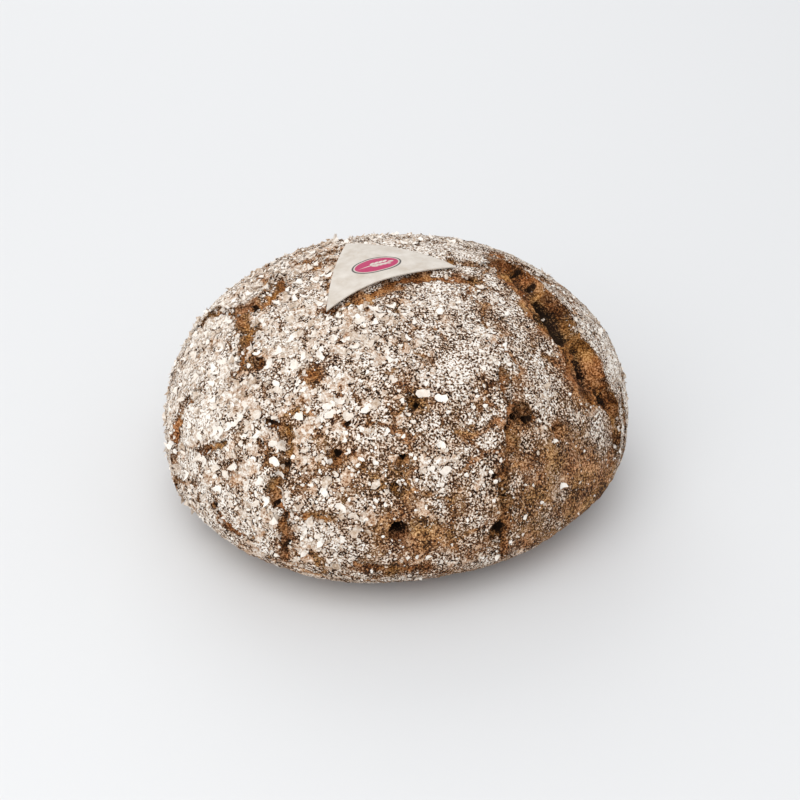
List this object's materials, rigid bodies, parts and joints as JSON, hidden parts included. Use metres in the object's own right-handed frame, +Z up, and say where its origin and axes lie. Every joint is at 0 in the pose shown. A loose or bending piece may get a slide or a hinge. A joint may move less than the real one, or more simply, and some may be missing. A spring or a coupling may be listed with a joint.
{
  "type": "rye bread loaf",
  "caption": "Whole round rye hearth loaf with a torn crust dusted with flour and bran flakes, and a thin three-cornered wafer label on its crown.",
  "frame": {"origin": "middle of the loaf's plan, on the surface that it rests on", "axes": "+Z up through the crown, -Y towards the front; the wide gape in the crust lies on the +X side"},
  "size_m": [0.189, 0.1832, 0.0966],
  "materials": {
    "crust": "matte, dusted with flour",
    "wafer": "matte"
  },
  "bodies": {
    "root": {"loaf": "crust", "label": "wafer"}
  },
  "joints": []
}
